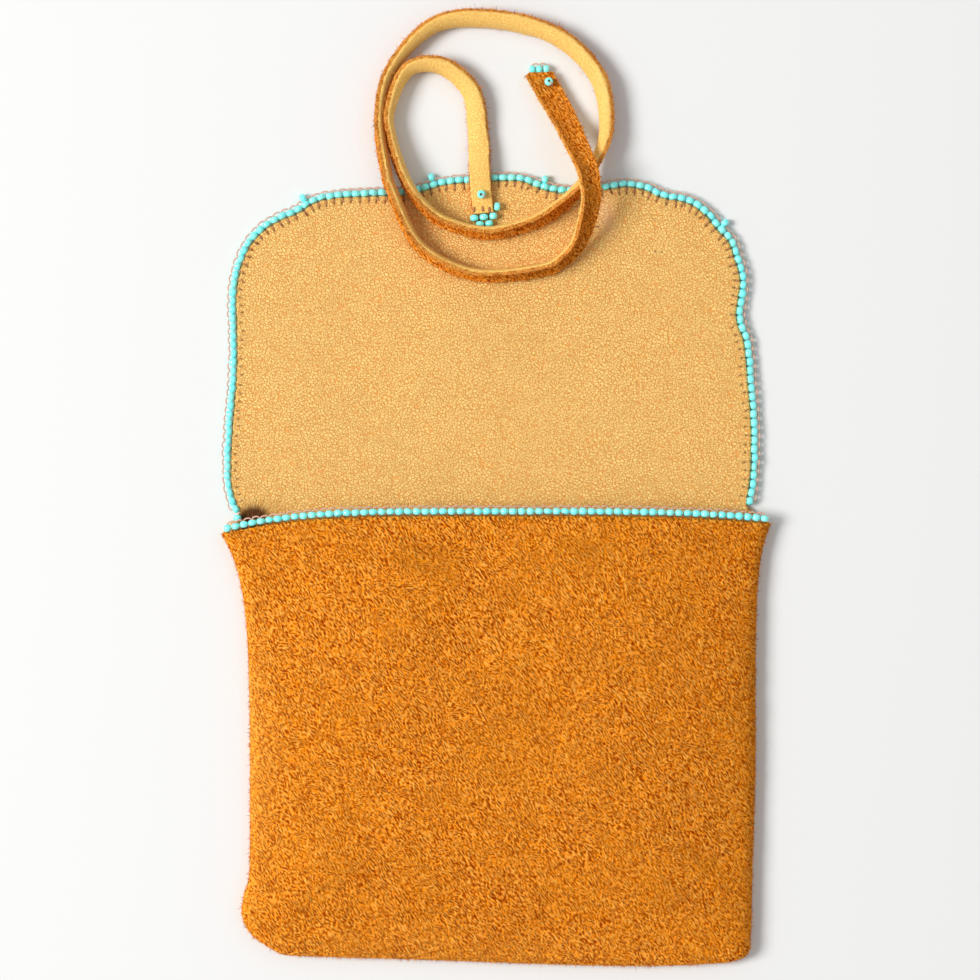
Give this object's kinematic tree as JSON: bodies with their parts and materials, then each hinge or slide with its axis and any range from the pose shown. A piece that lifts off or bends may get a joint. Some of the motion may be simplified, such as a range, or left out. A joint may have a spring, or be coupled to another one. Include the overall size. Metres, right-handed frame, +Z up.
{
  "type": "beaded medicine bag",
  "caption": "Flat soft leather pouch with a flared mouth, a wide open flap, seed-bead edging on lip and flap, and a long leather tie.",
  "frame": {"origin": "on the underside of the back, at the middle of the mouth", "axes": "+Z up off the back, +Y from the pouch towards the flap's tip, +X across the mouth"},
  "size_m": [0.148, 0.257, 0.0132],
  "materials": {
    "suede": "brushed tan suede, matte and nappy",
    "grain_leather": "pale tan smooth side with a fine grain, suede on the outside",
    "tie_leather": "rust suede on one face, pale smooth grain on the other, fibrous brown cut edges",
    "turquoise_glass": "opaque glossy turquoise seed bead",
    "thread": "twisted copper-pink sewing thread"
  },
  "bodies": {
    "root": {"back_and_flap": "grain_leather", "front_panel": "suede", "seam_thread": "thread", "flap_bead_edging": "turquoise_glass", "lip_bead_edging": "turquoise_glass", "picot_bead_1": "turquoise_glass", "picot_bead_2": "turquoise_glass", "picot_bead_3": "turquoise_glass", "picot_bead_4": "turquoise_glass", "corner_bead": "turquoise_glass", "tie_strap": "tie_leather", "tie_root_bead_1": "turquoise_glass", "tie_root_bead_2": "turquoise_glass", "tie_root_bead_3": "turquoise_glass", "tie_root_bead_4": "turquoise_glass", "tie_root_bead_5": "turquoise_glass", "tie_root_bead_6": "turquoise_glass", "tie_ring_bead": "turquoise_glass", "tie_tip_bead_1": "turquoise_glass", "tie_tip_bead_2": "turquoise_glass", "tie_tip_bead_3": "turquoise_glass", "tie_face_bead": "turquoise_glass"}
  },
  "joints": []
}
